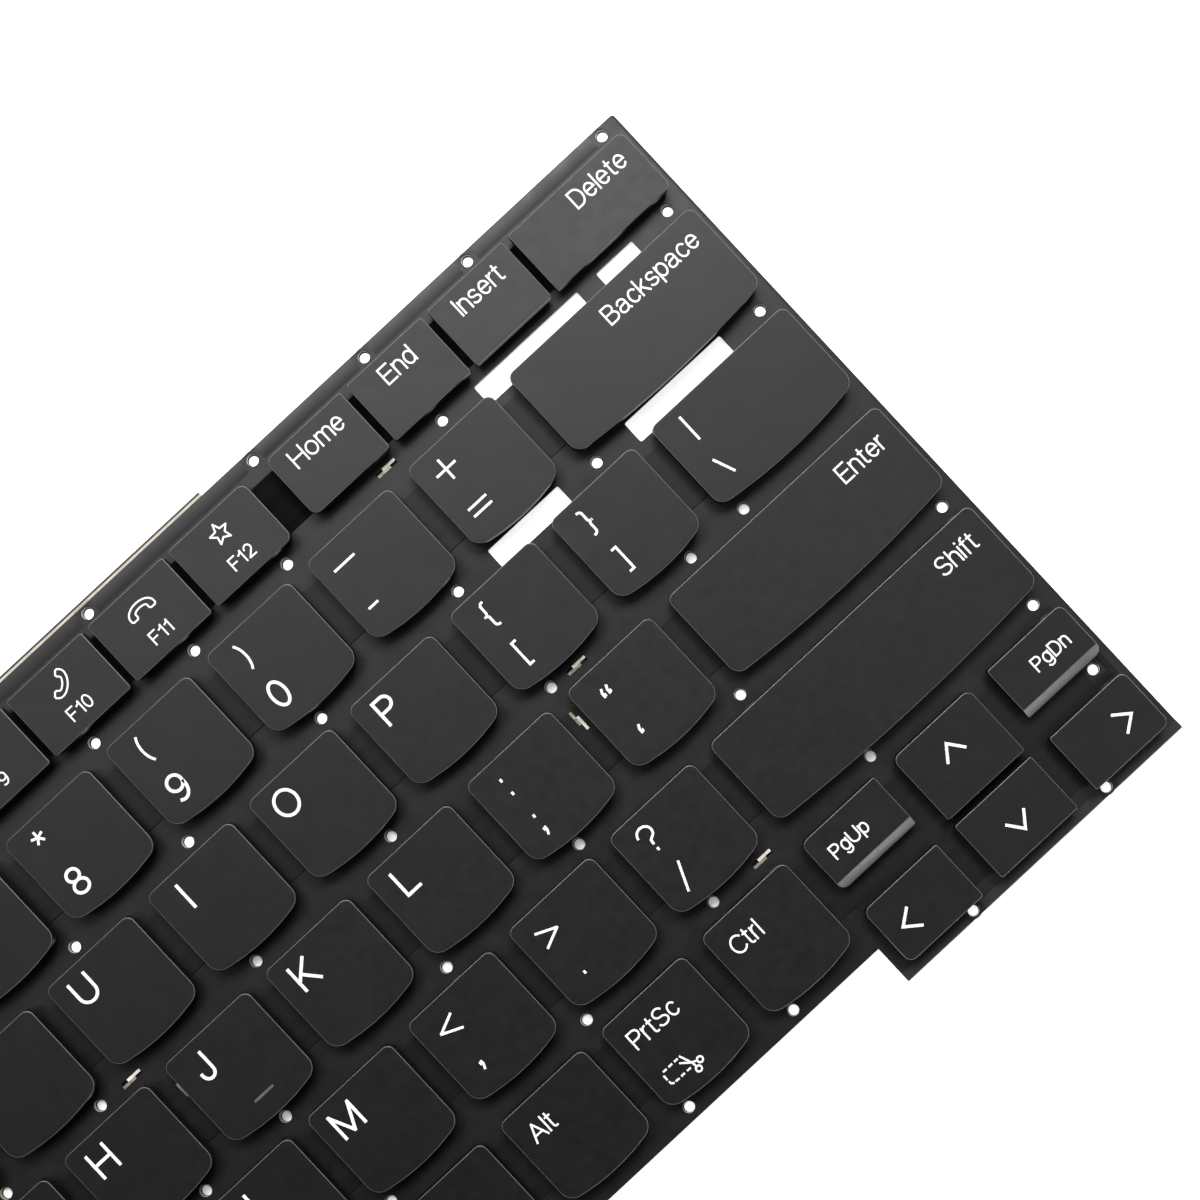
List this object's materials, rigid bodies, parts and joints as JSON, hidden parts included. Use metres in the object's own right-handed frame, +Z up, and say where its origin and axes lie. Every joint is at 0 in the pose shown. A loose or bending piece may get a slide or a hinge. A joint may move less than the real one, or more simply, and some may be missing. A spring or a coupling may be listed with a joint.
{
  "type": "laptop keyboard",
  "caption": "Laptop replacement keyboard: low black keycaps on scissor links and rubber domes over a punched steel plate, with a membrane and a light guide behind.",
  "frame": {"origin": "middle of the outline, on the underside of the back film", "axes": "+X along the key rows to the right, +Y towards the function row, +Z up out of the key tops"},
  "size_m": [0.2852, 0.1182, 0.0049],
  "materials": {
    "cap": "fine matt",
    "plate": "matt black paint on steel",
    "membrane": "black film",
    "guide": "white light guide",
    "film": "black back film",
    "silicone": "milky silicone",
    "link": "natural acetal",
    "wire": "bright spring wire"
  },
  "bodies": {
    "base": {"back_film": "film", "inner_links": "link", "left_bottom_keys": "cap", "left_function_keys": "cap", "left_letter_keys": "cap", "light_guide": "guide", "outer_links": "link", "rubber_domes": "silicone", "support_plate": "plate", "switch_membrane": "membrane"},
    "backslash_cap": {"key_backslash": "cap"},
    "backspace_cap": {"key_backspace": "cap"},
    "comma_cap": {"key_comma": "cap"},
    "delete_cap": {"key_delete": "cap"},
    "down_cap": {"key_down": "cap"},
    "eight_cap": {"key_eight": "cap"},
    "end_cap": {"key_end": "cap"},
    "enter_cap": {"key_enter": "cap"},
    "equals_cap": {"key_equals": "cap"},
    "f10_cap": {"key_f10": "cap"},
    "f11_cap": {"key_f11": "cap"},
    "f12_cap": {"key_f12": "cap"},
    "f9_cap": {"key_f9": "cap"},
    "h_cap": {"key_h": "cap"},
    "home_cap": {"key_home": "cap"},
    "i_cap": {"key_i": "cap"},
    "insert_cap": {"key_insert": "cap"},
    "j_cap": {"key_j": "cap"},
    "k_cap": {"key_k": "cap"},
    "l_cap": {"key_l": "cap"},
    "left_cap": {"key_left": "cap"},
    "left_bracket_cap": {"key_left_bracket": "cap"},
    "m_cap": {"key_m": "cap"},
    "minus_cap": {"key_minus": "cap"},
    "n_cap": {"key_n": "cap"},
    "nine_cap": {"key_nine": "cap"},
    "o_cap": {"key_o": "cap"},
    "p_cap": {"key_p": "cap"},
    "page_down_cap": {"key_page_down": "cap"},
    "page_up_cap": {"key_page_up": "cap"},
    "period_cap": {"key_period": "cap"},
    "print_cap": {"key_print": "cap"},
    "quote_cap": {"key_quote": "cap"},
    "right_cap": {"key_right": "cap"},
    "right_alt_cap": {"key_right_alt": "cap"},
    "right_bracket_cap": {"key_right_bracket": "cap"},
    "right_ctrl_cap": {"key_right_ctrl": "cap"},
    "right_shift_cap": {"key_right_shift": "cap"},
    "semicolon_cap": {"key_semicolon": "cap"},
    "seven_cap": {"key_seven": "cap"},
    "slash_cap": {"key_slash": "cap"},
    "space_cap": {"key_space": "cap"},
    "u_cap": {"key_u": "cap"},
    "up_cap": {"key_up": "cap"},
    "y_cap": {"key_y": "cap"},
    "zero_cap": {"key_zero": "cap"},
    "backspace_bar": {"stabilizer_backspace": "wire"},
    "enter_bar": {"stabilizer_enter": "wire"},
    "right_shift_bar": {"stabilizer_right_shift": "wire"},
    "space_bar": {"stabilizer_space": "wire"}
  },
  "joints": [
    {"name": "backslash_press", "type": "slide", "parent": "base", "child": "backslash_cap", "axis": [0, 0, -1], "range_m": [0, 0.0015], "stiffness_N_per_m": 400, "deforming": ["rubber_domes", "outer_links", "inner_links"]},
    {"name": "backspace_press", "type": "slide", "parent": "base", "child": "backspace_cap", "axis": [0, 0, -1], "range_m": [0, 0.0015], "stiffness_N_per_m": 400, "deforming": ["rubber_domes", "outer_links", "inner_links"]},
    {"name": "comma_press", "type": "slide", "parent": "base", "child": "comma_cap", "axis": [0, 0, -1], "range_m": [0, 0.0015], "stiffness_N_per_m": 400, "deforming": ["rubber_domes", "outer_links", "inner_links"]},
    {"name": "delete_press", "type": "slide", "parent": "base", "child": "delete_cap", "axis": [0, 0, -1], "range_m": [0, 0.0015], "stiffness_N_per_m": 400, "deforming": ["rubber_domes", "outer_links", "inner_links"]},
    {"name": "down_press", "type": "slide", "parent": "base", "child": "down_cap", "axis": [0, 0, -1], "range_m": [0, 0.0015], "stiffness_N_per_m": 400, "deforming": ["rubber_domes", "outer_links", "inner_links"]},
    {"name": "eight_press", "type": "slide", "parent": "base", "child": "eight_cap", "axis": [0, 0, -1], "range_m": [0, 0.0015], "stiffness_N_per_m": 400, "deforming": ["rubber_domes", "outer_links", "inner_links"]},
    {"name": "end_press", "type": "slide", "parent": "base", "child": "end_cap", "axis": [0, 0, -1], "range_m": [0, 0.0015], "stiffness_N_per_m": 400, "deforming": ["rubber_domes", "outer_links", "inner_links"]},
    {"name": "enter_press", "type": "slide", "parent": "base", "child": "enter_cap", "axis": [0, 0, -1], "range_m": [0, 0.0015], "stiffness_N_per_m": 400, "deforming": ["rubber_domes", "outer_links", "inner_links"]},
    {"name": "equals_press", "type": "slide", "parent": "base", "child": "equals_cap", "axis": [0, 0, -1], "range_m": [0, 0.0015], "stiffness_N_per_m": 400, "deforming": ["rubber_domes", "outer_links", "inner_links"]},
    {"name": "f10_press", "type": "slide", "parent": "base", "child": "f10_cap", "axis": [0, 0, -1], "range_m": [0, 0.0015], "stiffness_N_per_m": 400, "deforming": ["rubber_domes", "outer_links", "inner_links"]},
    {"name": "f11_press", "type": "slide", "parent": "base", "child": "f11_cap", "axis": [0, 0, -1], "range_m": [0, 0.0015], "stiffness_N_per_m": 400, "deforming": ["rubber_domes", "outer_links", "inner_links"]},
    {"name": "f12_press", "type": "slide", "parent": "base", "child": "f12_cap", "axis": [0, 0, -1], "range_m": [0, 0.0015], "stiffness_N_per_m": 400, "deforming": ["rubber_domes", "outer_links", "inner_links"]},
    {"name": "f9_press", "type": "slide", "parent": "base", "child": "f9_cap", "axis": [0, 0, -1], "range_m": [0, 0.0015], "stiffness_N_per_m": 400, "deforming": ["rubber_domes", "outer_links", "inner_links"]},
    {"name": "h_press", "type": "slide", "parent": "base", "child": "h_cap", "axis": [0, 0, -1], "range_m": [0, 0.0015], "stiffness_N_per_m": 400, "deforming": ["rubber_domes", "outer_links", "inner_links"]},
    {"name": "home_press", "type": "slide", "parent": "base", "child": "home_cap", "axis": [0, 0, -1], "range_m": [0, 0.0015], "stiffness_N_per_m": 400, "deforming": ["rubber_domes", "outer_links", "inner_links"]},
    {"name": "i_press", "type": "slide", "parent": "base", "child": "i_cap", "axis": [0, 0, -1], "range_m": [0, 0.0015], "stiffness_N_per_m": 400, "deforming": ["rubber_domes", "outer_links", "inner_links"]},
    {"name": "insert_press", "type": "slide", "parent": "base", "child": "insert_cap", "axis": [0, 0, -1], "range_m": [0, 0.0015], "stiffness_N_per_m": 400, "deforming": ["rubber_domes", "outer_links", "inner_links"]},
    {"name": "j_press", "type": "slide", "parent": "base", "child": "j_cap", "axis": [0, 0, -1], "range_m": [0, 0.0015], "stiffness_N_per_m": 400, "deforming": ["rubber_domes", "outer_links", "inner_links"]},
    {"name": "k_press", "type": "slide", "parent": "base", "child": "k_cap", "axis": [0, 0, -1], "range_m": [0, 0.0015], "stiffness_N_per_m": 400, "deforming": ["rubber_domes", "outer_links", "inner_links"]},
    {"name": "l_press", "type": "slide", "parent": "base", "child": "l_cap", "axis": [0, 0, -1], "range_m": [0, 0.0015], "stiffness_N_per_m": 400, "deforming": ["rubber_domes", "outer_links", "inner_links"]},
    {"name": "left_press", "type": "slide", "parent": "base", "child": "left_cap", "axis": [0, 0, -1], "range_m": [0, 0.0015], "stiffness_N_per_m": 400, "deforming": ["rubber_domes", "outer_links", "inner_links"]},
    {"name": "left_bracket_press", "type": "slide", "parent": "base", "child": "left_bracket_cap", "axis": [0, 0, -1], "range_m": [0, 0.0015], "stiffness_N_per_m": 400, "deforming": ["rubber_domes", "outer_links", "inner_links"]},
    {"name": "m_press", "type": "slide", "parent": "base", "child": "m_cap", "axis": [0, 0, -1], "range_m": [0, 0.0015], "stiffness_N_per_m": 400, "deforming": ["rubber_domes", "outer_links", "inner_links"]},
    {"name": "minus_press", "type": "slide", "parent": "base", "child": "minus_cap", "axis": [0, 0, -1], "range_m": [0, 0.0015], "stiffness_N_per_m": 400, "deforming": ["rubber_domes", "outer_links", "inner_links"]},
    {"name": "n_press", "type": "slide", "parent": "base", "child": "n_cap", "axis": [0, 0, -1], "range_m": [0, 0.0015], "stiffness_N_per_m": 400, "deforming": ["rubber_domes", "outer_links", "inner_links"]},
    {"name": "nine_press", "type": "slide", "parent": "base", "child": "nine_cap", "axis": [0, 0, -1], "range_m": [0, 0.0015], "stiffness_N_per_m": 400, "deforming": ["rubber_domes", "outer_links", "inner_links"]},
    {"name": "o_press", "type": "slide", "parent": "base", "child": "o_cap", "axis": [0, 0, -1], "range_m": [0, 0.0015], "stiffness_N_per_m": 400, "deforming": ["rubber_domes", "outer_links", "inner_links"]},
    {"name": "p_press", "type": "slide", "parent": "base", "child": "p_cap", "axis": [0, 0, -1], "range_m": [0, 0.0015], "stiffness_N_per_m": 400, "deforming": ["rubber_domes", "outer_links", "inner_links"]},
    {"name": "page_down_press", "type": "slide", "parent": "base", "child": "page_down_cap", "axis": [0, 0, -1], "range_m": [0, 0.0015], "stiffness_N_per_m": 400, "deforming": ["rubber_domes", "outer_links", "inner_links"]},
    {"name": "page_up_press", "type": "slide", "parent": "base", "child": "page_up_cap", "axis": [0, 0, -1], "range_m": [0, 0.0015], "stiffness_N_per_m": 400, "deforming": ["rubber_domes", "outer_links", "inner_links"]},
    {"name": "period_press", "type": "slide", "parent": "base", "child": "period_cap", "axis": [0, 0, -1], "range_m": [0, 0.0015], "stiffness_N_per_m": 400, "deforming": ["rubber_domes", "outer_links", "inner_links"]},
    {"name": "print_press", "type": "slide", "parent": "base", "child": "print_cap", "axis": [0, 0, -1], "range_m": [0, 0.0015], "stiffness_N_per_m": 400, "deforming": ["rubber_domes", "outer_links", "inner_links"]},
    {"name": "quote_press", "type": "slide", "parent": "base", "child": "quote_cap", "axis": [0, 0, -1], "range_m": [0, 0.0015], "stiffness_N_per_m": 400, "deforming": ["rubber_domes", "outer_links", "inner_links"]},
    {"name": "right_press", "type": "slide", "parent": "base", "child": "right_cap", "axis": [0, 0, -1], "range_m": [0, 0.0015], "stiffness_N_per_m": 400, "deforming": ["rubber_domes", "outer_links", "inner_links"]},
    {"name": "right_alt_press", "type": "slide", "parent": "base", "child": "right_alt_cap", "axis": [0, 0, -1], "range_m": [0, 0.0015], "stiffness_N_per_m": 400, "deforming": ["rubber_domes", "outer_links", "inner_links"]},
    {"name": "right_bracket_press", "type": "slide", "parent": "base", "child": "right_bracket_cap", "axis": [0, 0, -1], "range_m": [0, 0.0015], "stiffness_N_per_m": 400, "deforming": ["rubber_domes", "outer_links", "inner_links"]},
    {"name": "right_ctrl_press", "type": "slide", "parent": "base", "child": "right_ctrl_cap", "axis": [0, 0, -1], "range_m": [0, 0.0015], "stiffness_N_per_m": 400, "deforming": ["rubber_domes", "outer_links", "inner_links"]},
    {"name": "right_shift_press", "type": "slide", "parent": "base", "child": "right_shift_cap", "axis": [0, 0, -1], "range_m": [0, 0.0015], "stiffness_N_per_m": 400, "deforming": ["rubber_domes", "outer_links", "inner_links"]},
    {"name": "semicolon_press", "type": "slide", "parent": "base", "child": "semicolon_cap", "axis": [0, 0, -1], "range_m": [0, 0.0015], "stiffness_N_per_m": 400, "deforming": ["rubber_domes", "outer_links", "inner_links"]},
    {"name": "seven_press", "type": "slide", "parent": "base", "child": "seven_cap", "axis": [0, 0, -1], "range_m": [0, 0.0015], "stiffness_N_per_m": 400, "deforming": ["rubber_domes", "outer_links", "inner_links"]},
    {"name": "slash_press", "type": "slide", "parent": "base", "child": "slash_cap", "axis": [0, 0, -1], "range_m": [0, 0.0015], "stiffness_N_per_m": 400, "deforming": ["rubber_domes", "outer_links", "inner_links"]},
    {"name": "space_press", "type": "slide", "parent": "base", "child": "space_cap", "axis": [0, 0, -1], "range_m": [0, 0.0015], "stiffness_N_per_m": 400, "deforming": ["rubber_domes", "outer_links", "inner_links"]},
    {"name": "u_press", "type": "slide", "parent": "base", "child": "u_cap", "axis": [0, 0, -1], "range_m": [0, 0.0015], "stiffness_N_per_m": 400, "deforming": ["rubber_domes", "outer_links", "inner_links"]},
    {"name": "up_press", "type": "slide", "parent": "base", "child": "up_cap", "axis": [0, 0, -1], "range_m": [0, 0.0015], "stiffness_N_per_m": 400, "deforming": ["rubber_domes", "outer_links", "inner_links"]},
    {"name": "y_press", "type": "slide", "parent": "base", "child": "y_cap", "axis": [0, 0, -1], "range_m": [0, 0.0015], "stiffness_N_per_m": 400, "deforming": ["rubber_domes", "outer_links", "inner_links"]},
    {"name": "zero_press", "type": "slide", "parent": "base", "child": "zero_cap", "axis": [0, 0, -1], "range_m": [0, 0.0015], "stiffness_N_per_m": 400, "deforming": ["rubber_domes", "outer_links", "inner_links"]},
    {"name": "backspace_bar_swing", "type": "hinge", "parent": "base", "child": "backspace_bar", "pos_m": [0, 0.0279, 0.00145], "axis": [-1, 0, 0], "range_deg": [0, 21]},
    {"name": "enter_bar_swing", "type": "hinge", "parent": "base", "child": "enter_bar", "pos_m": [0, -0.0097, 0.00145], "axis": [-1, 0, 0], "range_deg": [0, 21]},
    {"name": "right_shift_bar_swing", "type": "hinge", "parent": "base", "child": "right_shift_bar", "pos_m": [0, -0.0285, 0.00145], "axis": [-1, 0, 0], "range_deg": [0, 21]},
    {"name": "space_bar_swing", "type": "hinge", "parent": "base", "child": "space_bar", "pos_m": [0, -0.0473, 0.00145], "axis": [-1, 0, 0], "range_deg": [0, 21]}
  ],
  "couplings": [
    {"joint": "backspace_bar_swing", "follows": "backspace_press", "rad_per_m": 243.65},
    {"joint": "enter_bar_swing", "follows": "enter_press", "rad_per_m": 243.65},
    {"joint": "right_shift_bar_swing", "follows": "right_shift_press", "rad_per_m": 243.65},
    {"joint": "space_bar_swing", "follows": "space_press", "rad_per_m": 243.65}
  ]
}
